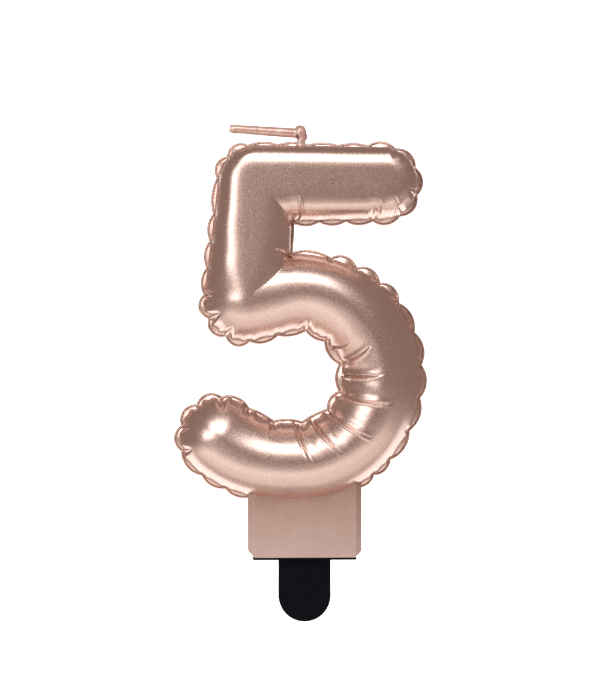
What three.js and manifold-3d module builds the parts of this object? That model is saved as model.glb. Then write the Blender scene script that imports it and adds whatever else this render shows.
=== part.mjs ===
// Birthday candle shaped like an inflated foil number balloon: a numeral five of metallic-coated wax
// on a small wax base block, with a folding wick on top and a plastic pick that plugs in underneath.
// Millimetres, +Z up, +X to the right of the numeral as it is read, +Y away from the reader.
// The origin is the middle of the pick's plate, on its underside, where the candle meets the cake.
import * as THREE from "three";
import { mergeVertices } from "three/addons/utils/BufferGeometryUtils.js";
import Module from "manifold-3d";

const wasm = await Module();
wasm.setup();

// ---------------------------------------------------------------- driving dimensions
const GAP = 0.3; // left between two pieces that touch
const HALF_DEPTH = 6.9; // seam plane to the crown of the inflated stroke, front and back alike

// The numeral's strokes run along a centre line in the seam plane, points as (x, z).
const BAR_END = new THREE.Vector2(13.9, 67.9);
const CORNER = new THREE.Vector2(-8.7, 67.8);
const HEEL = new THREE.Vector2(-10.5, 46.95);
const BOWL_CENTRE = new THREE.Vector2(-1.35, 33.0);
const BOWL_RADIUS = 15.3;
const BOWL_FOOT = 2.2; // length of the level stretch at the bottom
const TAIL_RADIUS = 18;
const TAIL_SWEEP = THREE.MathUtils.degToRad(40);

// Half the stroke's width at even steps along each centre line.
const BAR_WIDTHS = [6.6, 6.9];
const STEM_WIDTHS = [6.9, 7.45];
const BOWL_WIDTHS = [7.45, 6.75, 7.2, 7.1, 7.1, 6.85, 7.2];

// The seam is a thin scalloped band round the outline, pinched in where the foil puckers.
const SEAM_THICKNESS = 0.8;
const SEAM_WIDTH = 0.35; // beyond the stroke at a pinch
const LOBE_HEIGHT = 0.72; // further out again at the middle of a lobe
const FIRST_PINCH = 2.3; // from the right end of the bar's top edge, anticlockwise round the outline
// Runs of lobes round the outline as [lobes, length of each, share of the full lobe height].
// The last run is stretched to close it.
const LOBE_RUNS = [
  [4, 5.45, 0.45], // top of the bar
  [2, 4.15, 1.2], // top corner
  [1, 6.5, 0.9], // back of the stem
  [3, 4.9, 1.0],
  [3, 4.35, 1.4], // heel
  [2, 5.2, 1.0], // under the arm
  [1, 4.1, 1.0], // inside the bowl
  [2, 5.05, 1.4],
  [1, 3.95, 1.2],
  [4, 5.25, 0.75], // top of the tail
  [3, 4.6, 1.25], // end of the tail
  [1, 5.6, 0.8],
  [6, 4.8, 0.9], // underneath
  [2, 4.0, 1.0], // lower right of the bowl
  [2, 6.2, 1.1],
  [3, 6.0, 1.2], // right of the bowl
  [3, 4.95, 1.5], // upper right of the bowl
  [1, 7.1, 0.8], // top of the arm
  [1, 5.6, 0.0], // inside of the stem
  [3, 4.85, 0.9], // under the bar
  [5, 4.88, 1.0], // end of the bar
];

const BLOCK_WIDTH = 20.4;
const BLOCK_DEPTH = 4.8;
const BLOCK_TOP = 15.3; // before the saddle for the numeral is cut
const BLOCK_CHAMFER = 0.95; // across the front, at the upright edges
const CHAMFER_DEPTH = 0.5;
const FOOT_CHAMFER = 1.1; // at the two bottom corners

const PLATE = { width: 18.7, depth: 4.4, thickness: 0.4 };
const BLADE = { width: 9.4, length: 11.2, thickness: 1.6 };
const TANG = { width: 8.0, length: 8.0, taper: 1.6 };
const SLOT_CLEARANCE = 0.15;

const WICK_X = -0.6;
const WICK_RADIUS = 0.72;
const WICK_DEPTH = 11; // how far the wick goes down into the bar
const FOLD_HEIGHT = 2.1; // fold above the top of the bar
const BEAD_RADIUS = 1.25;
const TIP_LENGTH = 12.8; // fold to the free end
const TIP_RISE = THREE.MathUtils.degToRad(3.7); // the folded end lies this far above level

const TUBE_SIDES = 20;
const TUBE_STEP = 1.6;
const CAP_STEPS = 5;
const OUTLINE_STEP = 0.8;
const ROUND_SIDES = 20;

// ---------------------------------------------------------------- solids
// A closed geometry as a manifold-3d solid, with shared vertices merged and collapsed faces dropped.
function solid(geometry) {
  const bare = new THREE.BufferGeometry().setAttribute("position", geometry.getAttribute("position"));
  if (geometry.index) bare.setIndex(geometry.index);
  const merged = mergeVertices(bare, 1e-4);
  const faces = [];
  for (let i = 0; i < merged.index.count; i += 3) {
    const [a, b, c] = [0, 1, 2].map((k) => merged.index.getX(i + k));
    if (a !== b && b !== c && c !== a) faces.push(a, b, c);
  }
  const vertProperties = merged.getAttribute("position").array;
  return new wasm.Manifold(new wasm.Mesh({ numProp: 3, vertProperties, triVerts: new Uint32Array(faces) }));
}

// A solid as a geometry that three.js can draw.
function geometryOf(made) {
  const mesh = made.getMesh();
  const geometry = new THREE.BufferGeometry();
  geometry.setAttribute("position", new THREE.BufferAttribute(mesh.vertProperties, 3));
  geometry.setIndex(new THREE.BufferAttribute(mesh.triVerts, 1));
  geometry.computeVertexNormals();
  return geometry;
}

// A shape drawn in the (x, z) plane, made solid from y = -depth / 2 to depth / 2.
function slab(shape, depth) {
  const geometry = new THREE.ExtrudeGeometry(shape, { depth, bevelEnabled: false, curveSegments: 24 });
  return geometry.rotateX(Math.PI / 2).translate(0, depth / 2, 0);
}

// A closed skin through rings of equal size, with a point at each end.
function loft(first, rings, last) {
  const sides = rings[0].length;
  const points = [first, ...rings.flat(), last];
  const faces = [];
  for (let i = 0; i < sides; i++) {
    const j = (i + 1) % sides;
    faces.push(0, 1 + j, 1 + i);
    for (let k = 0; k + 1 < rings.length; k++) {
      const a = 1 + k * sides;
      const b = a + sides;
      faces.push(a + i, a + j, b + i, a + j, b + j, b + i);
    }
    const end = 1 + (rings.length - 1) * sides;
    faces.push(end + i, end + j, points.length - 1);
  }
  return new THREE.BufferGeometry().setFromPoints(points).setIndex(faces);
}

// ---------------------------------------------------------------- strokes of the numeral
function linePath(from, to) {
  return new THREE.Path().moveTo(from.x, from.y).lineTo(to.x, to.y);
}

// The arm leaves the heel tangent to the bowl, and the tail leaves the bowl's lowest point.
function bowlPath() {
  const toHeel = HEEL.clone().sub(BOWL_CENTRE);
  const touch = toHeel.angle() - Math.acos(BOWL_RADIUS / toHeel.length());
  const down = -Math.PI / 2;
  const path = new THREE.Path().moveTo(HEEL.x, HEEL.y);
  path.lineTo(BOWL_CENTRE.x + BOWL_RADIUS * Math.cos(touch), BOWL_CENTRE.y + BOWL_RADIUS * Math.sin(touch));
  path.absarc(BOWL_CENTRE.x, BOWL_CENTRE.y, BOWL_RADIUS, touch, down, true);
  const foot = new THREE.Vector2(BOWL_CENTRE.x - BOWL_FOOT, BOWL_CENTRE.y - BOWL_RADIUS);
  path.lineTo(foot.x, foot.y);
  path.absarc(foot.x, foot.y + TAIL_RADIUS, TAIL_RADIUS, down, down - TAIL_SWEEP, true);
  return path;
}

function stroke(path, widths) {
  return { path, widths, length: path.getLength() };
}

const bar = stroke(linePath(BAR_END, CORNER), BAR_WIDTHS);
const stem = stroke(linePath(CORNER, HEEL), STEM_WIDTHS);
const bowl = stroke(bowlPath(), BOWL_WIDTHS);
const STROKES = [bar, stem, bowl];

// Where a stroke is at the share u of its length: centre, direction, half-width and right-hand normal.
function station(of, u) {
  const at = u * (of.widths.length - 1);
  const low = Math.min(Math.floor(at), of.widths.length - 2);
  const centre = of.path.getPointAt(u);
  const along = of.path.getTangentAt(u);
  const halfWidth = THREE.MathUtils.lerp(of.widths[low], of.widths[low + 1], at - low);
  return { centre, along, halfWidth, normal: new THREE.Vector2(along.y, -along.x), of };
}

// One inflated stroke: an oval section along the centre line, closed by a round end each way.
function inflated(of, grow) {
  const ring = ({ centre, normal, along, halfWidth }, share, push) => {
    const middle = centre.clone().addScaledVector(along, push);
    return Array.from({ length: TUBE_SIDES }, (_, i) => {
      const angle = (2 * Math.PI * i) / TUBE_SIDES;
      const out = (halfWidth + grow) * share * Math.cos(angle);
      const y = (HALF_DEPTH + grow) * share * Math.sin(angle);
      return new THREE.Vector3(middle.x + normal.x * out, y, middle.y + normal.y * out);
    });
  };
  const tip = (at, sign) => {
    const p = at.centre.clone().addScaledVector(at.along, sign * (at.halfWidth + grow));
    return new THREE.Vector3(p.x, 0, p.y);
  };
  const cap = (at, sign) =>
    Array.from({ length: CAP_STEPS - 1 }, (_, i) => {
      const angle = ((i + 1) / CAP_STEPS) * (Math.PI / 2);
      return ring(at, Math.cos(angle), sign * (at.halfWidth + grow) * Math.sin(angle));
    });
  const steps = Math.ceil(of.length / TUBE_STEP);
  const body = Array.from({ length: steps + 1 }, (_, i) => ring(station(of, i / steps), 1, 0));
  const [start, end] = [station(of, 0), station(of, 1)];
  const rings = [...cap(start, -1).reverse(), ...body, ...cap(end, 1)];
  return loft(tip(start, -1), rings, tip(end, 1));
}

// ---------------------------------------------------------------- seam outline
// Stations round the outline, anticlockwise from the right end of the bar's top edge.
function outlineStations() {
  const side = (of, sign) => {
    const steps = Math.ceil(of.length / OUTLINE_STEP);
    const found = Array.from({ length: steps + 1 }, (_, i) => {
      const at = station(of, sign > 0 ? i / steps : 1 - i / steps);
      return { ...at, normal: at.normal.clone().multiplyScalar(sign) };
    });
    return found;
  };
  const turn = (at, from, sweep) => {
    const steps = Math.ceil((sweep * at.halfWidth) / OUTLINE_STEP);
    return Array.from({ length: steps - 1 }, (_, i) => {
      const normal = from.clone().rotateAround(new THREE.Vector2(), (sweep * (i + 1)) / steps);
      return { ...at, normal };
    });
  };
  const between = (a, b) => THREE.MathUtils.euclideanModulo(b.angle() - a.angle(), 2 * Math.PI);
  const [barLeft, stemTop, stemFoot, armStart] = [station(bar, 1), station(stem, 0), station(stem, 1), station(bowl, 0)];
  const [barRight, tailEnd] = [station(bar, 0), station(bowl, 1)];
  return [
    ...side(bar, 1),
    ...turn(barLeft, barLeft.normal, between(barLeft.normal, stemTop.normal)),
    ...side(stem, 1),
    ...turn(stemFoot, stemFoot.normal, between(stemFoot.normal, armStart.normal)),
    ...side(bowl, 1),
    ...turn(tailEnd, tailEnd.normal, Math.PI),
    ...side(bowl, -1),
    ...side(stem, -1),
    ...side(bar, -1),
    ...turn(barRight, barRight.normal.clone().negate(), Math.PI),
  ];
}

function distanceTo(of, point) {
  let best = Infinity;
  for (let i = 0; i <= 60; i++) {
    const { centre, halfWidth } = station(of, i / 60);
    best = Math.min(best, centre.distanceTo(point) - halfWidth);
  }
  return best;
}

// The stations that lie on the numeral's own edge, not inside another stroke.
function edgeStations() {
  return outlineStations().filter(({ centre, normal, halfWidth, of }) => {
    const edge = centre.clone().addScaledVector(normal, halfWidth + SEAM_WIDTH);
    return STROKES.every((other) => other === of || distanceTo(other, edge) > SEAM_WIDTH - 0.05);
  });
}

// The pinches' places along the outline, as lengths from its start, each with the lobe height up to it.
function pinches(total) {
  const found = [{ at: FIRST_PINCH, height: 0 }];
  for (const [lobes, length, share] of LOBE_RUNS)
    for (let i = 0; i < lobes; i++)
      found.push({ at: found[found.length - 1].at + length, height: LOBE_HEIGHT * share });
  const last = found.length - 1 - LOBE_RUNS[LOBE_RUNS.length - 1][0];
  const from = found[last].at;
  const stretch = (total + FIRST_PINCH - from) / (found[found.length - 1].at - from);
  return found.map(({ at, height }, i) => ({ at: i > last ? from + (at - from) * stretch : at, height }));
}

// How far the seam stands out of the stroke at a length along the outline: a round lobe between pinches.
function lobe(places, total, at) {
  const along = at < places[0].at ? at + total : at;
  const next = Math.max(1, places.findIndex((p) => p.at >= along));
  const share = (along - places[next - 1].at) / (places[next].at - places[next - 1].at);
  return SEAM_WIDTH + places[next].height * Math.sqrt(Math.max(0, Math.sin(Math.PI * share)));
}

function seamShape() {
  const stations = edgeStations();
  const edges = stations.map(({ centre, normal, halfWidth }) =>
    centre.clone().addScaledVector(normal, halfWidth),
  );
  const lengths = [0];
  for (let i = 1; i < edges.length; i++) lengths.push(lengths[i - 1] + edges[i].distanceTo(edges[i - 1]));
  const total = lengths[lengths.length - 1] + edges[0].distanceTo(edges[edges.length - 1]);
  const places = pinches(total);
  const points = stations.map(({ centre, normal, halfWidth }, i) => {
    const overBlock = Math.abs(edges[i].x) < BLOCK_WIDTH / 2 + 2 * GAP && edges[i].y < BLOCK_TOP;
    const out = overBlock ? -2 * GAP : lobe(places, total, lengths[i]);
    return centre.clone().addScaledVector(normal, halfWidth + out);
  });
  return new THREE.Shape(points);
}

// ---------------------------------------------------------------- pieces
const barTop = CORNER.y + BAR_WIDTHS[1];

function numberBody() {
  const bore = new THREE.CylinderGeometry(WICK_RADIUS + SLOT_CLEARANCE, WICK_RADIUS + SLOT_CLEARANCE, 2 * WICK_DEPTH, ROUND_SIDES);
  bore.rotateX(Math.PI / 2).translate(WICK_X, 0, barTop);
  let body = solid(slab(seamShape(), SEAM_THICKNESS));
  for (const of of STROKES) body = body.add(solid(inflated(of, 0)));
  return geometryOf(body.subtract(solid(bore)));
}

function baseBlock() {
  const [w, d, c, f] = [BLOCK_WIDTH / 2, BLOCK_DEPTH / 2, BLOCK_CHAMFER, FOOT_CHAMFER];
  const side = d - CHAMFER_DEPTH;
  const foot = PLATE.thickness + 0.05;
  const corners = (points) => new THREE.Shape(points.map(([x, y]) => new THREE.Vector2(x, y)));
  const plan = corners([[-w, -side], [c - w, -d], [w - c, -d], [w, -side], [w, side], [w - c, d], [c - w, d], [-w, side]]);
  const front = corners([[-w, foot + f], [f - w, foot], [w - f, foot], [w, foot + f], [w, BLOCK_TOP], [-w, BLOCK_TOP]]);
  const upright = new THREE.ExtrudeGeometry(plan, { depth: BLOCK_TOP, bevelEnabled: false });
  const slot = new THREE.BoxGeometry(
    TANG.width + 2 * SLOT_CLEARANCE,
    BLADE.thickness + 2 * SLOT_CLEARANCE,
    2 * (TANG.length + PLATE.thickness + GAP),
  );
  const block = solid(upright).intersect(solid(slab(front, 2 * BLOCK_DEPTH)));
  return geometryOf(block.subtract(solid(inflated(bowl, GAP))).subtract(solid(slot)));
}

function pick() {
  const [half, tang] = [BLADE.width / 2, TANG.width / 2];
  const top = PLATE.thickness + TANG.length;
  const tongue = new THREE.Shape();
  tongue.moveTo(half, 0);
  tongue.lineTo(half, PLATE.thickness);
  tongue.lineTo(tang, PLATE.thickness);
  tongue.lineTo(tang, top - TANG.taper);
  tongue.lineTo(tang - TANG.taper, top);
  tongue.lineTo(TANG.taper - tang, top);
  tongue.lineTo(-tang, top - TANG.taper);
  tongue.lineTo(-tang, PLATE.thickness);
  tongue.lineTo(-half, PLATE.thickness);
  tongue.lineTo(-half, half - BLADE.length);
  tongue.absarc(0, half - BLADE.length, half, Math.PI, 2 * Math.PI, false);
  const plate = new THREE.BoxGeometry(PLATE.width, PLATE.depth, PLATE.thickness);
  plate.translate(0, 0, PLATE.thickness / 2);
  return geometryOf(solid(slab(tongue, BLADE.thickness)).add(solid(plate)));
}

// The straight lower part of the wick, from the bottom of its bore to just under the bead.
function wickCore() {
  const length = WICK_DEPTH + FOLD_HEIGHT - BEAD_RADIUS - 2 * GAP;
  const core = new THREE.CylinderGeometry(WICK_RADIUS, WICK_RADIUS, length, ROUND_SIDES);
  return core.rotateX(Math.PI / 2).translate(0, 0, length / 2 + GAP);
}

function wickTip() {
  const straight = TIP_LENGTH - BEAD_RADIUS - GAP / 2;
  const tip = new THREE.CapsuleGeometry(WICK_RADIUS, straight - 2 * WICK_RADIUS, 4, ROUND_SIDES);
  return tip.rotateZ(Math.PI / 2).translate(-BEAD_RADIUS - GAP / 2 - straight / 2, 0, 0);
}

// ---------------------------------------------------------------- assembly
const satinWax = new THREE.MeshStandardMaterial({ color: 0xb98d7c, roughness: 0.34, metalness: 0.8 });
const mattWax = new THREE.MeshStandardMaterial({ color: 0xb58f80, roughness: 0.55, metalness: 0.6 });
const waxedCotton = new THREE.MeshStandardMaterial({ color: 0xc99a86, roughness: 0.35, metalness: 0.4 });
const blackPlastic = new THREE.MeshStandardMaterial({ color: 0x10131b, roughness: 0.45, metalness: 0 });

function piece(name, geometry, material) {
  const mesh = new THREE.Mesh(geometry, material);
  mesh.name = name;
  return mesh;
}

const candle = new THREE.Group();
candle.add(piece("number_body", numberBody(), satinWax));
candle.add(piece("base_block", baseBlock(), mattWax));
const core = piece("wick_core", wickCore(), waxedCotton);
core.position.set(WICK_X, 0, barTop - WICK_DEPTH);
candle.add(core);

const wickEnd = new THREE.Group();
wickEnd.position.set(WICK_X, 0, barTop + FOLD_HEIGHT);
wickEnd.rotation.y = TIP_RISE;
wickEnd.add(piece("wick_bead", new THREE.SphereGeometry(BEAD_RADIUS, ROUND_SIDES, 12), waxedCotton));
wickEnd.add(piece("wick_tip", wickTip(), waxedCotton));
candle.add(wickEnd);

const model = new THREE.Group();
model.add(candle);
model.add(piece("pick", pick(), blackPlastic));

export default model;
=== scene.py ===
"""Looks of a cake candle shaped like a foil balloon numeral five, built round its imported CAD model.

The numeral is one implicit surface: three inflated strokes, a scalloped seam flange with a rim bead,
a short fold at every pinch of the seam and long creases inside the bowl. Lengths are in millimetres
until a mesh is made, and (x, z) is the seam plane.
"""

import math

import bmesh
import bpy
import numpy as np
import openvdb
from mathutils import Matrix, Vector


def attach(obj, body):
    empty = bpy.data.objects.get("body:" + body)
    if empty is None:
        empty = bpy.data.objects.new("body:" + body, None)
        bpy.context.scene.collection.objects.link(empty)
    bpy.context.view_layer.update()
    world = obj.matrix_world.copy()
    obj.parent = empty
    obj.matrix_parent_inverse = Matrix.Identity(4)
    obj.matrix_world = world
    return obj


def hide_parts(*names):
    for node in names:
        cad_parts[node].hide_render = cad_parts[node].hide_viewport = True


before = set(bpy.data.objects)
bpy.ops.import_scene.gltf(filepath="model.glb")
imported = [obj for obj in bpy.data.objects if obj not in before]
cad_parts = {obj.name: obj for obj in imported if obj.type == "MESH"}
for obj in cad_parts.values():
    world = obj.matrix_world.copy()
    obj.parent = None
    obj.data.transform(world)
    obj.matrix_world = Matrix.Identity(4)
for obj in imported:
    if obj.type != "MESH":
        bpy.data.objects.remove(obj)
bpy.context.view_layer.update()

MM = 0.001

# ---------------------------------------------------------------- the numeral's strokes
# Centre lines in the seam plane, as in the CAD model.
BAR_END = np.array([13.9, 67.9])
CORNER = np.array([-8.7, 67.8])
HEEL = np.array([-10.5, 46.95])
BOWL_CENTRE = np.array([-1.35, 33.0])
BOWL_RADIUS = 15.3
BOWL_FOOT = 2.2  # length of the level stretch at the bottom
TAIL_RADIUS = 18.0
TAIL_SWEEP = math.radians(40)
BAR_WIDTHS = [6.6, 6.9]
STEM_WIDTHS = [6.9, 7.45]
BOWL_WIDTHS = [7.45, 6.75, 7.2, 7.1, 7.1, 6.85, 7.2]
HALF_DEPTH = 6.9

# How full each stroke is at even steps along it, to the right and to the left of the way it runs: 1 is an
# oval section, more keeps the front flat further out, less is more pointed.
BAR_RIGHT, BAR_LEFT = [3.6, 3.6], [2.1, 1.9]
STEM_RIGHT, STEM_LEFT = [2.8, 2.5, 1.8, 1.0], [2.2, 2.0, 1.7, 0.9]
BOWL_RIGHT = [1.0, 0.82, 0.8, 0.85, 0.85, 0.82, 0.68]
BOWL_LEFT = [0.92, 1.0, 0.85, 1.0, 0.9, 1.1, 1.25]

# The top of the bar also has a broad flat bevel: where it starts, how steep it is, and how gently it sets in.
BEVEL_START = 0.42
BEVEL_SLOPE = 0.6
BEVEL_EASE = 0.45

# ---------------------------------------------------------------- the seam
SEAM_WIDTH = 0.35
LOBE_HEIGHT = 0.72
FIRST_PINCH = 2.3
# Runs of lobes round the outline, anticlockwise from the bar's right end:
# lobes, length of each, share of the full lobe height, then length and depth of the fold at each pinch.
LOBE_RUNS = [
    (4, 5.45, 0.55, 0.8, 0.14),  # top of the bar
    (2, 4.15, 1.2, 1.6, 0.25),  # top corner
    (1, 6.5, 0.9, 0.8, 0.15),  # back of the stem
    (3, 4.9, 1.0, 0.8, 0.15),
    (3, 4.35, 1.4, 2.3, 0.45),  # heel
    (2, 5.2, 1.0, 1.2, 0.25),  # under the arm
    (1, 4.1, 1.0, 2.4, 0.35),  # inside the bowl
    (2, 5.05, 1.4, 1.6, 0.30),
    (1, 3.95, 1.2, 1.6, 0.30),
    (4, 5.25, 0.75, 1.8, 0.35),  # top of the tail
    (3, 4.6, 1.25, 2.3, 0.45),  # end of the tail
    (1, 5.6, 0.8, 1.8, 0.40),
    (6, 4.8, 0.9, 1.0, 0.20),  # underneath
    (2, 4.0, 1.0, 1.2, 0.25),  # lower right of the bowl
    (2, 6.2, 1.1, 1.0, 0.22),
    (3, 6.0, 1.2, 0.9, 0.20),  # right of the bowl
    (3, 4.95, 1.5, 1.2, 0.25),  # upper right of the bowl
    (1, 7.1, 0.8, 1.2, 0.25),  # top of the arm
    (1, 5.6, 0.0, 0.6, 0.10),  # inside of the stem
    (3, 4.85, 0.9, 0.8, 0.15),  # under the bar
    (5, 4.88, 1.0, 2.3, 0.45),  # end of the bar
]
# Across each of the two valleys of a pinch's fold, the valley and its shoulder: offset, width, share.
PINCH_SECTION = [(0.0, 0.26, 1.0), (0.8, 0.5, -0.35)]
PINCH_PARTING = 0.3  # how far apart the two valleys are, as a share of what is left of the fold
PINCH_FADE = 1.2  # how soon a fold grows shallow
PINCH_OVERRUN = 1.2  # how far it reaches out past the numeral's edge
PINCH_RANGE = 5.0
RIM_HALF_WIDTH = 0.22
RIM_HALF_HEIGHT = 0.55
WEB_HALF_THICKNESS = 0.1  # at the rim, from where it thickens inward
WEB_SLOPE = 0.4

# Long creases across the inside of the bowl: start angle, end angle and end radius about its centre, depth.
CREASES = [
    (45, 34, 10.9, 0.28),
    (15, 24, 14.2, 0.40),
    (3, 2, 15.4, 0.38),
    (-24, -16, 17.6, 0.42),
    (-51, -40, 17.2, 0.40),
    (-71, -60, 16.0, 0.38),
    (-93, -81, 15.5, 0.38),
    (-120, -114, 12.4, 0.22),
]
CREASE_START = 7.6  # from the bowl's centre
CREASE_BEND = 0.35  # to the side, half way along
CREASE_TAPER = 0.45  # share of its length over which a crease fades out
CREASE_OVERRUN = 1.2  # how far it reaches back past its foot
# Across a crease, the valley, the lip beside it and the slope beyond: offset, width, share of the depth.
CREASE_SECTION = [(0.0, 0.2, 0.7), (0.42, 0.26, -0.5), (-1.1, 1.0, 0.5)]
# Folds under the bar, and one at the inner corner over the arm: foot and head in the seam plane, depth.
SHORT_FOLDS = [
    ((-1.4, 60.6), (-1.5, 65.3), 0.42),
    ((12.6, 61.2), (13.1, 64.9), 0.28),
    ((16.0, 61.8), (15.9, 65.4), 0.28),
    ((-2.7, 54.4), (-5.8, 55.6), 0.3),
]

BODY_FIELD = 6.6  # value of a stroke's field on its centre line
JOIN_BLEND = 0.25  # rounding where two strokes meet, at their edges
SEAM_BLEND = 0.12
VOXEL = 0.15
WICK_VOXEL = 0.07
ADAPTIVITY = 0.01
BAND = 4.0  # the fields are cut off at this value


def eased(share):
    return share * share * (3 - 2 * share)


def smooth_max(a, b, k):
    """The larger of a and b, with the corner between them rounded over k."""
    h = np.maximum(k - np.abs(a - b), 0) / k
    return np.maximum(a, b) + h * h * k / 4


def smooth_min(a, b, k):
    return -smooth_max(-a, -b, k)


def right_of(direction):
    return np.stack([direction[..., 1], -direction[..., 0]], axis=-1)


class Line:
    """A straight leg of a centre line."""

    def __init__(self, a, b):
        self.a = np.asarray(a, float)
        self.along = np.asarray(b, float) - self.a
        self.length = float(np.linalg.norm(self.along))
        self.along /= self.length

    def at(self, s):
        s = np.asarray(s, float)[..., None]
        return self.a + s * self.along, np.broadcast_to(self.along, s.shape[:-1] + (2,))

    def nearest(self, p):
        return np.clip((p - self.a) @ self.along, 0, self.length)


class Arc:
    """A leg of a centre line that runs clockwise round a centre."""

    def __init__(self, centre, radius, start, sweep):
        self.centre = np.asarray(centre, float)
        self.radius = radius
        self.start = start
        self.length = radius * sweep

    def at(self, s):
        angle = self.start - np.asarray(s, float) / self.radius
        out = np.stack([np.cos(angle), np.sin(angle)], axis=-1)
        return self.centre + self.radius * out, right_of(out)

    def nearest(self, p):
        w = p - self.centre
        turned = (self.start - np.arctan2(w[..., 1], w[..., 0])) % (2 * math.pi)
        half = self.length / self.radius / 2
        turned = np.where(turned > half + math.pi, turned - 2 * math.pi, turned)
        return np.clip(turned * self.radius, 0, self.length)


class Stroke:
    """A centre line of one or more legs, with a half-width and a fullness to either side along it."""

    def __init__(self, legs, widths, right, left, bevel=0.0):
        self.legs = legs
        self.bevel = bevel
        self.length = sum(leg.length for leg in legs)
        self.widths = widths
        self.right = right
        self.left = left
        self.elbows = []

    def spread(self, values, u):
        """Values given at even steps along the stroke, eased from each to the next, at the share u of it."""
        at = np.clip(u, 0, 1) * (len(values) - 1)
        low = np.minimum(np.floor(at).astype(int), len(values) - 2)
        values = np.asarray(values)
        return values[low] + (values[low + 1] - values[low]) * eased(at - low)

    def half_width(self, u):
        return self.spread(self.widths, u)

    def at(self, u):
        s = u * self.length
        for leg in self.legs[:-1]:
            if s <= leg.length:
                return leg.at(s)
            s -= leg.length
        return self.legs[-1].at(s)

    def nearest(self, p):
        """Centre-line point, direction, share of the length and distance for each of the points p."""
        best = None
        before = 0.0
        for leg in self.legs:
            s = leg.nearest(p)
            centre, along = leg.at(s)
            distance = np.linalg.norm(p - centre, axis=-1)
            found = [centre, along, (before + s) / self.length, distance]
            before += leg.length
            if best is None:
                best = found
                continue
            closer = distance < best[3]
            wide = closer[..., None]
            best = [
                np.where(wide, found[0], best[0]),
                np.where(wide, found[1], best[1]),
                np.where(closer, found[2], best[2]),
                np.where(closer, distance, best[3]),
            ]
        return best

    def roundness(self, p):
        """How far out each point is, 0 on the centre line and 1 on the edge, and how far inside the edge."""
        centre, along, u, distance = self.nearest(p)
        half = self.half_width(u)
        aside = np.sum((p - centre) * right_of(along), axis=1) / np.maximum(distance, 1e-9)
        toward = eased(np.clip((aside + 1) / 2, 0, 1))
        full = self.spread(self.left, u) * (1 - toward) + self.spread(self.right, u) * toward
        bevel = self.bevel * toward
        for elbow in self.elbows:
            outside, turned, cut = elbow.around(p, distance)
            full = np.where(outside, turned, full)
            bevel = np.where(outside, cut, bevel)
        out = np.maximum(distance / half, 1e-6)
        past = np.maximum(out - BEVEL_START, 0)
        drop = np.minimum(bevel * BEVEL_SLOPE * past**2 / (past + BEVEL_EASE), 1)
        blend = 0.15 * bevel * eased(np.minimum(out / BEVEL_START, 1)) + 1e-6
        return smooth_max(out**full, np.sqrt(1 - (1 - drop) ** 2), blend), half - distance


class Elbow:
    """The outside of a bend, where one stroke's fullness turns into the next stroke's."""

    def __init__(self, before, after):
        self.point, self.first = before.at(1)
        self.last = after.at(0)[1]
        self.full = before.right[-1], after.right[0]
        self.bevel = before.bevel, after.bevel
        before.elbows.append(self)
        after.elbows.append(self)

    def around(self, p, distance):
        """For points p, so far from the stroke: whether outside the bend, and fullness and bevel there."""
        w = p - self.point
        own = np.linalg.norm(w, axis=1) < distance + 1e-6
        outside = (w @ self.first > 0) & (w @ self.last < 0) & own
        start, stop = (math.atan2(v[1], v[0]) for v in (right_of(self.first), right_of(self.last)))
        here = np.arctan2(w[:, 1], w[:, 0])
        share = np.clip(((here - start) % (2 * math.pi)) / ((stop - start) % (2 * math.pi)), 0, 1)
        full, bevel = (ends[0] * (1 - share) + ends[1] * share for ends in (self.full, self.bevel))
        return outside, full, bevel


def bowl_legs():
    to_heel = HEEL - BOWL_CENTRE
    reach = float(np.linalg.norm(to_heel))
    touch = math.atan2(to_heel[1], to_heel[0]) - math.acos(BOWL_RADIUS / reach)
    start = BOWL_CENTRE + BOWL_RADIUS * np.array([math.cos(touch), math.sin(touch)])
    down = -math.pi / 2
    bottom = BOWL_CENTRE - np.array([0, BOWL_RADIUS])
    foot = bottom - np.array([BOWL_FOOT, 0])
    return [
        Line(HEEL, start),
        Arc(BOWL_CENTRE, BOWL_RADIUS, touch, touch - down),
        Line(bottom, foot),
        Arc(foot + np.array([0, TAIL_RADIUS]), TAIL_RADIUS, down, TAIL_SWEEP),
    ]


bar = Stroke([Line(BAR_END, CORNER)], BAR_WIDTHS, BAR_RIGHT, BAR_LEFT, bevel=1.0)
stem = Stroke([Line(CORNER, HEEL)], STEM_WIDTHS, STEM_RIGHT, STEM_LEFT)
bowl = Stroke(bowl_legs(), BOWL_WIDTHS, BOWL_RIGHT, BOWL_LEFT)
STROKES = [bar, stem, bowl]
for before, after in zip(STROKES[:-1], STROKES[1:]):
    Elbow(before, after)


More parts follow.
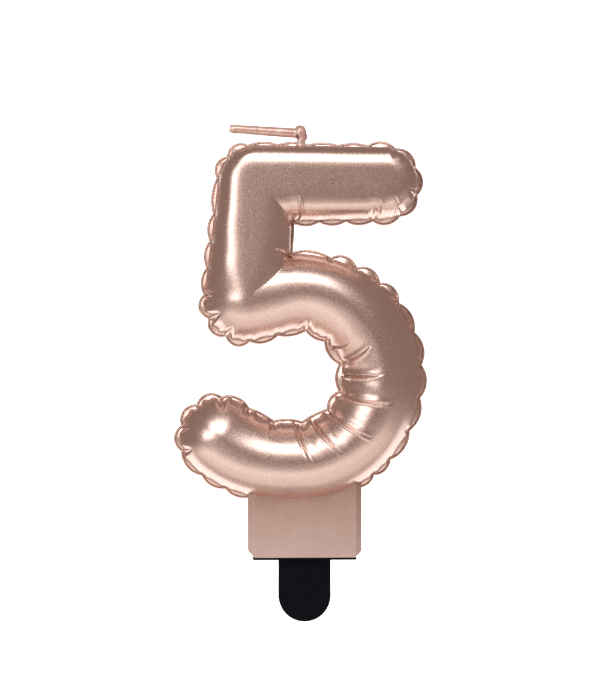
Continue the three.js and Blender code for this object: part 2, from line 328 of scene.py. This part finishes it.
# ---------------------------------------------------------------- outline and pinches
def outline():
    """Points of the numeral's own edge, anticlockwise from the bar's right end, and outward directions."""
    found = []

    def side(of, sign):
        steps = math.ceil(of.length / 0.25)
        for i in range(steps + 1):
            u = i / steps if sign > 0 else 1 - i / steps
            centre, along = of.at(u)
            found.append((of, centre, sign * right_of(along), of.half_width(u)))

    def turn(of, u, first, sweep):
        centre, _ = of.at(u)
        steps = math.ceil(sweep * of.half_width(u) / 0.25)
        for i in range(1, steps):
            a = sweep * i / steps
            spin = np.array([[math.cos(a), -math.sin(a)], [math.sin(a), math.cos(a)]])
            found.append((of, centre, spin @ first, of.half_width(u)))

    def between(a, b):
        return (math.atan2(b[1], b[0]) - math.atan2(a[1], a[0])) % (2 * math.pi)

    bar_out, stem_out = right_of(bar.at(1)[1]), right_of(stem.at(0)[1])
    heel_out, arm_out = right_of(stem.at(1)[1]), right_of(bowl.at(0)[1])
    side(bar, 1)
    turn(bar, 1, bar_out, between(bar_out, stem_out))
    side(stem, 1)
    turn(stem, 1, heel_out, between(heel_out, arm_out))
    side(bowl, 1)
    turn(bowl, 1, right_of(bowl.at(1)[1]), math.pi)
    side(bowl, -1)
    side(stem, -1)
    side(bar, -1)
    turn(bar, 0, -right_of(bar.at(0)[1]), math.pi)
    edges, outs = [], []
    for of, centre, out, half in found:
        edge = centre + (half + SEAM_WIDTH) * out
        others = [o for o in STROKES if o is not of]
        hidden = any(float(o.roundness(edge[None])[1][0]) > 0.05 - SEAM_WIDTH for o in others)
        if not hidden:
            edges.append(centre + half * out)
            outs.append(out)
    return np.array(edges), np.array(outs)


EDGES, OUTS = outline()
steps = np.linalg.norm(np.diff(EDGES, axis=0, append=EDGES[:1]), axis=1)
LENGTHS = np.concatenate([[0], np.cumsum(steps)])


def pinch_places():
    """Each pinch's length along the outline; its fold's length and depth and the next lobe's height."""
    places, folds = [FIRST_PINCH], []
    for lobes, pitch, height, fold, depth in LOBE_RUNS:
        for _ in range(lobes):
            folds.append((fold, depth, height))
            places.append(places[-1] + pitch)
    places = np.array(places)
    last = len(places) - 1 - LOBE_RUNS[-1][0]
    stretch = (LENGTHS[-1] + FIRST_PINCH - places[last]) / (places[-1] - places[last])
    places[last:] = places[last] + (places[last:] - places[last]) * stretch
    return places[:-1], folds


def on_outline(s):
    """Point and outward direction at a length along the outline."""
    s = s % LENGTHS[-1]
    closed = np.vstack([EDGES, EDGES[:1]])
    turned = np.vstack([OUTS, OUTS[:1]])
    point = np.array([np.interp(s, LENGTHS, closed[:, k]) for k in (0, 1)])
    out = np.array([np.interp(s, LENGTHS, turned[:, k]) for k in (0, 1)])
    return point, out / np.linalg.norm(out)


PLACES, FOLDS = pinch_places()


# ---------------------------------------------------------------- fields, positive inside
def seam_lobes():
    """Each lobe of the seam as a disc: chord's middle, half its length, way out, centre, radius."""
    found = []
    ends = np.append(PLACES, PLACES[0] + LENGTHS[-1])
    for a, b, (_, _, share) in zip(ends[:-1], ends[1:], FOLDS):
        (p, p_out), (q, q_out), (m, m_out) = (on_outline(s) for s in (a, b, (a + b) / 2))
        p, q, m = p + SEAM_WIDTH * p_out, q + SEAM_WIDTH * q_out, m + SEAM_WIDTH * m_out
        half = np.linalg.norm(q - p) / 2
        middle = (p + q) / 2
        out = right_of((q - p) / (2 * half))
        out = out if out @ m_out > 0 else -out
        height = max(0.05, LOBE_HEIGHT * share + (m - middle) @ out)
        radius = (half**2 + height**2) / (2 * height)
        found.append((middle, half, out, middle + (height - radius) * out, radius))
    return found


LOBES = seam_lobes()


def across(section, aside):
    """Depth across a fold, so far to its side, as a sum of smooth humps."""
    return sum(share * np.exp(-(((aside - offset) / width) ** 2)) for offset, width, share in section)


def pinch_dents(p):
    """Depth of the folds that run inward from the pinches: two valleys that meet, a ridge between."""
    total = np.zeros(len(p))
    for place, (reach, depth, _) in zip(PLACES, FOLDS):
        edge, out = on_outline(place)
        w = p - edge
        near = (np.abs(w[:, 0]) < PINCH_RANGE) & (np.abs(w[:, 1]) < PINCH_RANGE)
        inward = -(w[near] @ out)
        fade = np.clip(1 - inward / reach, 0, 1)
        aside = np.abs(w[near] @ right_of(out)) - PINCH_PARTING * reach * fade
        held = fade**PINCH_FADE * (inward > -PINCH_OVERRUN)
        total[near] += depth * held * across(PINCH_SECTION, aside)
    return total


def bowl_point(radius, degrees):
    angle = math.radians(degrees)
    return BOWL_CENTRE + radius * np.array([math.cos(angle), math.sin(angle)])


def crease_dents(p):
    """Depth of the long creases and the short folds, each a bent valley that fades toward its head."""
    folds = [(np.array(foot), np.array(head), depth) for foot, head, depth in SHORT_FOLDS]
    for start, end, end_radius, depth in CREASES:
        folds.append((bowl_point(CREASE_START, start), bowl_point(end_radius, end), depth))
    total = np.zeros(len(p))
    for foot, head, depth in folds:
        reach = np.linalg.norm(head - foot)
        along = (head - foot) / reach
        w = p - foot
        near = (np.abs(w[:, 0]) < reach + 2) & (np.abs(w[:, 1]) < reach + 2)
        run = w[near] @ along
        share = np.clip(run / reach, -0.15, 1)
        aside = w[near] @ right_of(along) - CREASE_BEND * 4 * share * (1 - share)
        fade = np.clip((1 - share) / CREASE_TAPER, 0, 1) ** 0.9
        fade *= (run < reach) * np.clip(run + CREASE_OVERRUN, 0, 1)
        total[near] += depth * fade * across(CREASE_SECTION, aside)
    return total


def plan(p):
    """What the numeral is at points of the seam plane, whatever the depth: each stroke's roundness,
    the depth of the folds there, and how far inside the scalloped edge of the seam the point is."""
    found = [of.roundness(p) for of in STROKES]
    inside = np.max([f[1] for f in found], axis=0) + SEAM_WIDTH
    for middle, half, out, centre, radius in LOBES:
        w = p - middle
        held = (np.abs(w @ right_of(out)) < half + 0.3) & (w @ out > -3)
        inside[held] = np.maximum(inside[held], radius - np.linalg.norm(p[held] - centre, axis=-1))
    dent = pinch_dents(p) + crease_dents(p)
    return [f[0] for f in found], dent, inside


def numeral(drawn, y):
    rounds, dent, inside = drawn
    depth = (y / HALF_DEPTH) ** 2
    bar_part, stem_part, bowl_part = (BODY_FIELD * (1 - np.sqrt(e * e + depth)) for e in rounds)
    blend = JOIN_BLEND * np.minimum(np.min(rounds, axis=0), 1) ** 2 + 1e-6
    body = smooth_max(smooth_max(bar_part, stem_part, blend), bowl_part, blend) - dent
    across = (inside - RIM_HALF_WIDTH) / RIM_HALF_WIDTH
    rim = RIM_HALF_WIDTH * (1 - np.sqrt(across**2 + (y / RIM_HALF_HEIGHT) ** 2))
    thick = WEB_HALF_THICKNESS + WEB_SLOPE * np.clip(inside, 0, 2)
    web = smooth_min(thick - np.abs(y), inside - RIM_HALF_WIDTH / 2, 0.1)
    return smooth_max(body, np.maximum(rim, web), SEAM_BLEND)


# ---------------------------------------------------------------- meshes from fields
def new_object(name, mesh, body, *nodes, slot):
    thing = bpy.data.objects.new(name, mesh)
    bpy.context.scene.collection.objects.link(thing)
    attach(thing, body)
    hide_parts(*nodes)
    return thing


def skin(name, slices, value, low, high, voxel, adaptivity):
    """Closed mesh of a field's zero surface, with vertices pulled onto it and normals from its gradient.
    slices(ys) gives the field on the grid, one slice for each y, and value(points) gives it anywhere."""
    axes = [np.arange(a, b + voxel, voxel) for a, b in zip(low, high)]
    grid = openvdb.FloatGrid(BAND)
    grid.copyFromArray(np.clip(-slices(*axes), -BAND, BAND).astype(np.float32))
    points, triangles, quads = grid.convertToPolygons(0.0, adaptivity)
    points = points.astype(float) * voxel + np.array([a[0] for a in axes])

    def gradient(at, h):
        here = value(at)
        shifts = np.eye(3) * h
        return here, np.stack([(value(at + s) - here) / h for s in shifts], axis=1)

    for _ in range(3):
        here, slope = gradient(points, 0.01)
        size = np.maximum(np.sum(slope**2, axis=1), 0.25)
        move = -(here / size)[:, None] * slope
        far = np.linalg.norm(move, axis=1) / (0.6 * voxel)
        points += move / np.maximum(far, 1)[:, None]
    _, slope = gradient(points, 0.03)
    normals = -slope / np.maximum(np.linalg.norm(slope, axis=1), 1e-9)[:, None]
    faces = [list(map(int, f)) for f in triangles] + [list(map(int, f)) for f in quads]
    a, b, c = (points[[f[k] for f in faces]] for k in (0, 1, 2))
    turn = np.einsum("ij,ij->i", np.cross(b - a, c - a), normals[[f[0] for f in faces]])
    if np.sum(turn) < 0:
        faces = [f[::-1] for f in faces]
    mesh = bpy.data.meshes.new(name)
    mesh.from_pydata((points * MM).tolist(), [], faces)
    mesh.update()
    mesh.shade_smooth()
    mesh.normals_split_custom_set_from_vertices(normals.tolist())
    return mesh


def numeral_mesh():
    def slices(xs, ys, zs):
        flat = np.stack(np.meshgrid(xs, zs, indexing="ij"), axis=-1).reshape(-1, 2)
        drawn = plan(flat)
        return np.stack([numeral(drawn, y).reshape(len(xs), len(zs)) for y in ys], axis=1)

    def value(points):
        return numeral(plan(points[:, [0, 2]]), points[:, 1])

    size = (-24.6, -7.3, 9.6), (23.2, 7.3, 76.0)
    return skin("numeral", slices, value, *size, VOXEL, ADAPTIVITY)


def blob_mesh(name, value, low, high):
    def slices(xs, ys, zs):
        points = np.stack(np.meshgrid(xs, ys, zs, indexing="ij"), axis=-1)
        return value(points.reshape(-1, 3)).reshape(points.shape[:3])

    return skin(name, slices, value, low, high, WICK_VOXEL, 0.0)


# ---------------------------------------------------------------- wick
WICK_X = -0.6
BAR_TOP = 74.7
FOLD_HEIGHT = 2.1
TIP_LENGTH = 12.8
TIP_RISE = math.radians(3.7)
TWIST_PITCH = 5.2
BEAD_LIFT = np.array([-0.15, 0, 0.12])
fold = np.array([WICK_X, 0, BAR_TOP + FOLD_HEIGHT])


def strands(along, aside, deep, thick, apart, ripple):
    """Two twisted strands under one coat of wax."""
    turn = 2 * math.pi * along / TWIST_PITCH
    u = aside * np.cos(turn) + deep * np.sin(turn)
    v = deep * np.cos(turn) - aside * np.sin(turn)
    uneven = thick * (1 + ripple * np.sin(2.3 * along + 0.7) + 0.6 * ripple * np.sin(5.1 * along))
    one = uneven - np.hypot(u - apart, v)
    other = uneven - np.hypot(u + apart, v)
    return smooth_max(one, other, 0.25)


def wick_core(p):
    up = p[:, 2] - BAR_TOP
    x, y = p[:, 0] - WICK_X, p[:, 1]
    cord = strands(up, x, y, thick=0.58, apart=0.3, ripple=0.05)
    foot = 1.5 - np.hypot(np.hypot(x, y), up + 1.15)
    ends = np.minimum(FOLD_HEIGHT - 0.6 - up, up + 3.0)
    return smooth_min(smooth_max(cord, foot - 0.1, 0.5), ends, 0.3)


def wick_bead(p):
    q = p - fold - BEAD_LIFT
    upper = 1.15 - np.linalg.norm((q - [-0.05, 0, 0.3]) * [1, 1, 0.95], axis=1)
    lower = 1.0 - np.linalg.norm(q - [0.28, 0.05, -0.6], axis=1)
    front = 0.5 - np.linalg.norm(q - [0.45, -0.55, 0.1], axis=1)
    knot = smooth_max(smooth_max(upper, lower, 0.25), front, 0.3)
    return knot - 0.03 * np.sin(5 * q[:, 0] + 1) * np.sin(6 * q[:, 2]) * np.cos(4 * q[:, 1])


def wick_tip(p):
    q = p - fold - BEAD_LIFT
    along = -q[:, 0] * math.cos(TIP_RISE) + q[:, 2] * math.sin(TIP_RISE)
    up = q[:, 2] * math.cos(TIP_RISE) + q[:, 0] * math.sin(TIP_RISE)
    cord = strands(along, up, q[:, 1], thick=0.84 - 0.012 * along, apart=0.04, ripple=0.015)
    drop = 0.74 - np.hypot(np.hypot(along - TIP_LENGTH + 0.9, up + 0.08), q[:, 1])
    ends = np.minimum(TIP_LENGTH - 0.05 * np.sin(3 * up) - along, along - 0.55)
    return smooth_min(smooth_max(cord, drop, 0.3), ends, 0.35)


# ---------------------------------------------------------------- materials
def linear(*levels):
    """A colour given as on a screen, 0 to 255, as the shader wants it."""
    shares = [level / 255 for level in levels]
    return tuple(c / 12.92 if c <= 0.04045 else ((c + 0.055) / 1.055) ** 2.4 for c in shares) + (1.0,)


class Shader:
    """A Principled material and short ways to wire nodes into it."""

    def __init__(self, name):
        self.material = bpy.data.materials.new(name)
        self.material.use_nodes = True
        self.nodes = self.material.node_tree.nodes
        self.links = self.material.node_tree.links
        self.surface = self.nodes["Principled BSDF"]
        self.where = self.nodes.new("ShaderNodeTexCoord").outputs["Object"]

    def set(self, **values):
        for name, value in values.items():
            self.surface.inputs[name.replace("_", " ")].default_value = value
        return self

    def noise(self, size, detail=2.0, roughness=0.5):
        node = self.nodes.new("ShaderNodeTexNoise")
        node.inputs["Scale"].default_value = 1 / (size * MM)
        node.inputs["Detail"].default_value = detail
        node.inputs["Roughness"].default_value = roughness
        self.links.new(self.where, node.inputs["Vector"])
        return node.outputs["Fac"]

    def height(self):
        """How high each point of the piece is, in metres."""
        split = self.nodes.new("ShaderNodeSeparateXYZ")
        self.links.new(self.where, split.inputs[0])
        return split.outputs["Z"]

    def flakes(self, size):
        """A random value for each cell of about that size."""
        node = self.nodes.new("ShaderNodeTexVoronoi")
        node.inputs["Scale"].default_value = 1 / (size * MM)
        self.links.new(self.where, node.inputs["Vector"])
        split = self.nodes.new("ShaderNodeSeparateColor")
        self.links.new(node.outputs["Color"], split.inputs[0])
        return split.outputs[0]

    def spread(self, value, low, high, to_low, to_high):
        node = self.nodes.new("ShaderNodeMapRange")
        for name, number in zip(("From Min", "From Max", "To Min", "To Max"), (low, high, to_low, to_high)):
            node.inputs[name].default_value = number
        self.links.new(value, node.inputs["Value"])
        return node.outputs["Result"]

    def mix(self, share, a, b):
        node = self.nodes.new("ShaderNodeMix")
        node.data_type = "RGBA"
        self.links.new(share, node.inputs["Factor"])
        for socket, colour in ((node.inputs[6], a), (node.inputs[7], b)):
            if isinstance(colour, tuple):
                socket.default_value = colour
            else:
                self.links.new(colour, socket)
        return node.outputs[2]

    def add(self, a, b, operation="ADD"):
        node = self.nodes.new("ShaderNodeMath")
        node.operation = operation
        for socket, value in zip(node.inputs, (a, b)):
            if isinstance(value, (int, float)):
                socket.default_value = value
            else:
                self.links.new(value, socket)
        return node.outputs[0]

    def plug(self, name, value):
        self.links.new(value, self.surface.inputs[name])

    def bump(self, height, distance, strength=1.0):
        node = self.nodes.new("ShaderNodeBump")
        node.inputs["Distance"].default_value = distance * MM
        node.inputs["Strength"].default_value = strength
        self.links.new(height, node.inputs["Height"])
        self.links.new(node.outputs["Normal"], self.surface.inputs["Normal"])


def rose_gold():
    look = Shader("rose_gold_lacquer").set(Metallic=1.0)
    drift = look.spread(look.noise(9), 0.35, 0.65, 0, 1)
    base = look.mix(drift, linear(228, 201, 190), linear(232, 207, 197))
    mica = look.spread(look.flakes(0.11), 0.7, 1.0, 0, 0.5)
    look.plug("Base Color", look.mix(mica, base, linear(250, 236, 228)))
    grain = look.add(look.flakes(0.13), look.noise(0.35, 3))
    look.plug("Roughness", look.spread(grain, 0.3, 1.7, 0.21, 0.34))
    look.bump(look.add(look.flakes(0.12), look.add(look.noise(0.5, 3), 1.5, "MULTIPLY")), 0.012, 0.4)
    return look.material


def matt_gold():
    look = Shader("matt_lacquered_wax").set(Metallic=0.75)
    # Painted shade and painted reflection: the base colour is lighter at the foot of the block and darker at
    # its top. The dark top stands in for the shade under the numeral's overhang, and the light foot for the
    # pale floor reflected low down.
    painted_top_shade = look.spread(look.height(), 0.001, 0.014, 0, 1)
    drift = look.spread(look.noise(4, 3), 0.3, 0.7, -0.1, 0.1)
    base = look.mix(look.add(painted_top_shade, drift), linear(224, 202, 192), linear(192, 158, 146))
    mica = look.spread(look.flakes(0.14), 0.93, 1.0, 0, 0.45)
    look.plug("Base Color", look.mix(mica, base, linear(248, 232, 222)))
    look.plug("Roughness", look.spread(look.flakes(0.15), 0, 1, 0.5, 0.62))
    look.bump(look.add(look.noise(0.3, 4, 0.6), look.flakes(0.17)), 0.012, 0.5)
    return look.material


def waxed_cotton():
    look = Shader("waxed_cotton").set(Metallic=0.35, Roughness=0.3)
    drift = look.spread(look.noise(1.2, 3), 0.35, 0.65, 0, 1)
    base = look.mix(drift, linear(226, 184, 166), linear(246, 226, 218))
    soot = look.spread(look.noise(2.1, 1), 0.68, 0.74, 0, 0.7)
    look.plug("Base Color", look.mix(soot, base, linear(110, 70, 56)))
    look.bump(look.noise(0.3, 4), 0.03, 0.5)
    return look.material


def black_plastic():
    look = Shader("black_plastic").set(Specular_IOR_Level=0.1)
    drift = look.spread(look.noise(3, 3), 0.3, 0.7, 0, 1)
    look.plug("Base Color", look.mix(drift, linear(2, 7, 18), linear(5, 10, 21)))
    look.plug("Roughness", look.spread(look.noise(0.6, 3), 0.3, 0.7, 0.5, 0.6))
    look.bump(look.noise(0.15, 2), 0.004, 0.4)
    return look.material


# ---------------------------------------------------------------- block and pick
BLOCK_WIDTH = 20.4
BLOCK_DEPTH = 4.8
BLOCK_TOP = 14.6
BLOCK_CHAMFER = 0.95
CHAMFER_DEPTH = 0.5
FOOT_CHAMFER = 1.1
BLOCK_FOOT = 0.45
PLATE = (18.7, 4.4, 0.4)
BLADE_WIDTH = 9.4
BLADE_LENGTH = 11.2
BLADE_THICKNESS = 1.6
TANG = (8.0, 8.0, 1.6)  # width, length, taper
SLOT_CLEARANCE = 0.3


def mesh_of(name, bm):
    bmesh.ops.recalc_face_normals(bm, faces=bm.faces)
    bmesh.ops.scale(bm, vec=(MM, MM, MM), verts=bm.verts)
    mesh = bpy.data.meshes.new(name)
    bm.to_mesh(mesh)
    bm.free()
    mesh.shade_smooth()
    return mesh


def soften(thing, width, segments, angle):
    """Rounds a piece's edges."""
    bevel = thing.modifiers.new("soften", "BEVEL")
    bevel.width = width * MM
    bevel.segments = segments
    bevel.limit_method = "ANGLE"
    bevel.angle_limit = math.radians(angle)
    bevel.harden_normals = True


def prism(bm, outline_points, low, high, axis):
    """A closed prism: the outline in the plane across axis ("y" or "z"), from low to high along it."""
    place = (lambda a, b, c: (a, c, b)) if axis == "y" else (lambda a, b, c: (a, b, c))
    rings = [[bm.verts.new(place(a, b, c)) for a, b in outline_points] for c in (low, high)]
    bm.faces.new(rings[0])
    bm.faces.new(rings[1][::-1])
    count = len(outline_points)
    for i in range(count):
        j = (i + 1) % count
        bm.faces.new((rings[0][j], rings[0][i], rings[1][i], rings[1][j]))


def block_mesh():
    """Rings down the tang's slot and up the block: its foot, cut at the two bottom corners, then straight
    up into the numeral."""
    w, d, c = BLOCK_WIDTH / 2, BLOCK_DEPTH / 2, BLOCK_CHAMFER
    slot_w, slot_d = TANG[0] / 2 + SLOT_CLEARANCE, BLADE_THICKNESS / 2 + SLOT_CLEARANCE
    bm = bmesh.new()
    rings = []
    for z in (PLATE[2] + TANG[1] + SLOT_CLEARANCE, BLOCK_FOOT):
        ring = [(-slot_w, -slot_d)] * 2 + [(slot_w, -slot_d)] * 2
        ring += [(x, -y) for x, y in reversed(ring)]
        rings.append([bm.verts.new((x, y, z)) for x, y in ring])
    for z, pull in ((BLOCK_FOOT, FOOT_CHAMFER), (BLOCK_FOOT + FOOT_CHAMFER, 0), (BLOCK_TOP, 0)):
        half = w - pull
        inner = min(half, w - c)
        side = d - CHAMFER_DEPTH * (1 - min(pull, c) / c)
        ring = [(-half, -side), (-inner, -d), (inner, -d), (half, -side)]
        ring += [(x, -y) for x, y in reversed(ring)]
        rings.append([bm.verts.new((x, y, z)) for x, y in ring])
    bm.faces.new(rings[0])
    bm.faces.new(rings[-1][::-1])
    for low, high in zip(rings[:-1], rings[1:]):
        for i in range(8):
            j = (i + 1) % 8
            bm.faces.new((low[j], low[i], high[i], high[j]))
    bmesh.ops.remove_doubles(bm, verts=bm.verts, dist=1e-4)
    return mesh_of("base_block", bm)


def pick_mesh():
    half = BLADE_WIDTH / 2
    tang, length, taper = TANG[0] / 2, TANG[1], TANG[2]
    top = PLATE[2] + length
    round_end = [
        (half * math.cos(a), half - BLADE_LENGTH + half * math.sin(a))
        for a in np.linspace(0, -math.pi, 49)
    ]
    blade = [(half, PLATE[2] / 2), *round_end, (-half, PLATE[2] / 2)]
    tongue = [(tang, PLATE[2] / 2), (-tang, PLATE[2] / 2), (-tang, top - taper), (taper - tang, top)]
    tongue += [(tang - taper, top), (tang, top - taper)]
    bm = bmesh.new()
    prism(bm, blade, -BLADE_THICKNESS / 2, BLADE_THICKNESS / 2, "y")
    prism(bm, tongue, -BLADE_THICKNESS / 2, BLADE_THICKNESS / 2, "y")
    w, d = PLATE[0] / 2, PLATE[1] / 2
    r = 0.5
    plate = [(w, d - r), (w - r, d), (r - w, d), (-w, d - r)]
    plate += [(-x, -y) for x, y in plate]
    prism(bm, plate, 0, PLATE[2], "z")
    return mesh_of("pick", bm)


def paint(thing, material):
    thing.data.materials.clear()
    thing.data.materials.append(material)
    return thing


gold, matt, wax, black = rose_gold(), matt_gold(), waxed_cotton(), black_plastic()
number = new_object("numeral", numeral_mesh(), "candle", "number_body", slot="satin_wax")
paint(number, gold)
block = new_object("base_block_wax", block_mesh(), "candle", "base_block", slot="matt_wax")
paint(block, matt)
soften(block, 0.16, 3, 20)
pick = new_object("pick_moulding", pick_mesh(), "pick", "pick", slot="black_plastic")
paint(pick, black)
soften(pick, 0.12, 3, 30)

low = (WICK_X - 2.0, -2.0, BAR_TOP - 3.2)
high = (WICK_X + 2.0, 2.0, BAR_TOP + FOLD_HEIGHT + 0.2)
core_mesh = blob_mesh("wick_core_wax", wick_core, low, high)
paint(new_object("wick_core_wax", core_mesh, "candle", "wick_core", slot="waxed_cotton"), wax)
bead_mesh = blob_mesh("wick_bead_wax", wick_bead, fold - 2, fold + 2)
paint(new_object("wick_bead_wax", bead_mesh, "wick_end", "wick_bead", slot="waxed_cotton"), wax)
low = (fold[0] - TIP_LENGTH - 1, -1.4, fold[2] - 1.2)
high = (fold[0] + 0.3, 1.4, fold[2] + 2.2)
tip_mesh = blob_mesh("wick_tip_wax", wick_tip, low, high)
paint(new_object("wick_tip_wax", tip_mesh, "wick_end", "wick_tip", slot="waxed_cotton"), wax)

# ---------------------------------------------------------------- studio
VIEW_CENTRE = Vector((-0.8, 0, 37.8)) * MM
VIEW_HEIGHT = 126.5  # mm of the scene that the frame's height takes in at the seam plane
VIEW_DISTANCE = 460.0
VIEW_TURN = math.radians(-3.0)  # the camera stands a little to the left
FLOOR_Z = -31.0


def card(name, width, height, colour, strength):
    """A plain glowing card in its own XY plane."""
    bpy.ops.mesh.primitive_plane_add(size=1)
    thing = bpy.context.object
    thing.name = name
    thing.scale = (width * MM, height * MM, 1)
    look = bpy.data.materials.new(name)
    look.use_nodes = True
    nodes = look.node_tree.nodes
    nodes["Principled BSDF"].inputs["Base Color"].default_value = colour
    nodes["Principled BSDF"].inputs["Roughness"].default_value = 0.9
    nodes["Principled BSDF"].inputs["Emission Color"].default_value = colour
    nodes["Principled BSDF"].inputs["Emission Strength"].default_value = strength
    thing.data.materials.append(look)
    return thing


def soft_light(name, place, aim, width, height, radiance, colour=(1, 1, 1)):
    """A rectangular softbox, as bright as asked whatever its size."""
    data = bpy.data.lights.new(name, "AREA")
    data.shape = "RECTANGLE"
    data.size = width * MM
    data.size_y = height * MM
    data.energy = radiance * math.pi * data.size * data.size_y
    data.color = colour
    lamp = bpy.data.objects.new(name, data)
    lamp.location = Vector(place) * MM
    lamp.rotation_euler = (Vector(aim) * MM - lamp.location).to_track_quat("-Z", "Y").to_euler()
    bpy.context.scene.collection.objects.link(lamp)
    return lamp


# The floor stops short behind; the sweep goes on from there to the backdrop. The board and the apron are
# the pale part of the floor that the object's underside reflects.
floor = card("floor", 700, 300, (0.8, 0.77, 0.75, 1), 0.05)
floor.location = Vector((0, -140, FLOOR_Z)) * MM
board = card("board", 240, 55, (1.0, 0.99, 0.97, 1), 0.5)
board.location = Vector((-10, -82, FLOOR_Z + 0.5)) * MM
apron = card("apron", 230, 41, (0.95, 0.9, 0.87, 1), 0.4)
apron.location = Vector((-10, -34, FLOOR_Z + 0.5)) * MM
sweep = card("sweep", 300, 300, (1, 1, 1, 1), 1.0)
sweep.location = Vector((0, 160, FLOOR_Z)) * MM
backdrop = card("backdrop", 300, 200, (1, 1, 1, 1), 1.05)
backdrop.location = Vector((0, 305, FLOOR_Z + 95)) * MM
backdrop.rotation_euler = (math.pi / 2, 0, 0)

soft_light("key", (0, -184, 226), (0, 0, 42), 185, 132, 1.6)
soft_light("key_heart", (0, -182, 224), (0, 0, 42), 150, 84, 1.95)
soft_light("between", (-88, -236, 187), (0, 0, 42), 84, 60, 1.2)
soft_light("left_key", (-125, -206, 96), (0, 0, 42), 150, 132, 1.05)
soft_light("left_heart", (-124, -204, 92), (0, 0, 42), 112, 100, 1.35)

world = bpy.context.scene.world or bpy.data.worlds.new("studio")
bpy.context.scene.world = world
world.use_nodes = True
world.node_tree.nodes["Background"].inputs["Color"].default_value = (1.0, 0.72, 0.63, 1)
world.node_tree.nodes["Background"].inputs["Strength"].default_value = 0.3

camera_data = bpy.data.cameras.new("camera")
camera_data.sensor_fit = "VERTICAL"
camera_data.sensor_height = 36
camera_data.lens = 36 * VIEW_DISTANCE / VIEW_HEIGHT
camera_data.clip_start = 0.01
camera = bpy.data.objects.new("camera", camera_data)
away = Vector((math.sin(VIEW_TURN), -math.cos(VIEW_TURN), 0))
camera.location = VIEW_CENTRE + away * VIEW_DISTANCE * MM
camera.rotation_euler = (VIEW_CENTRE - camera.location).to_track_quat("-Z", "Y").to_euler()
bpy.context.scene.collection.objects.link(camera)
bpy.context.scene.camera = camera
bpy.context.scene.view_settings.view_transform = "Standard"
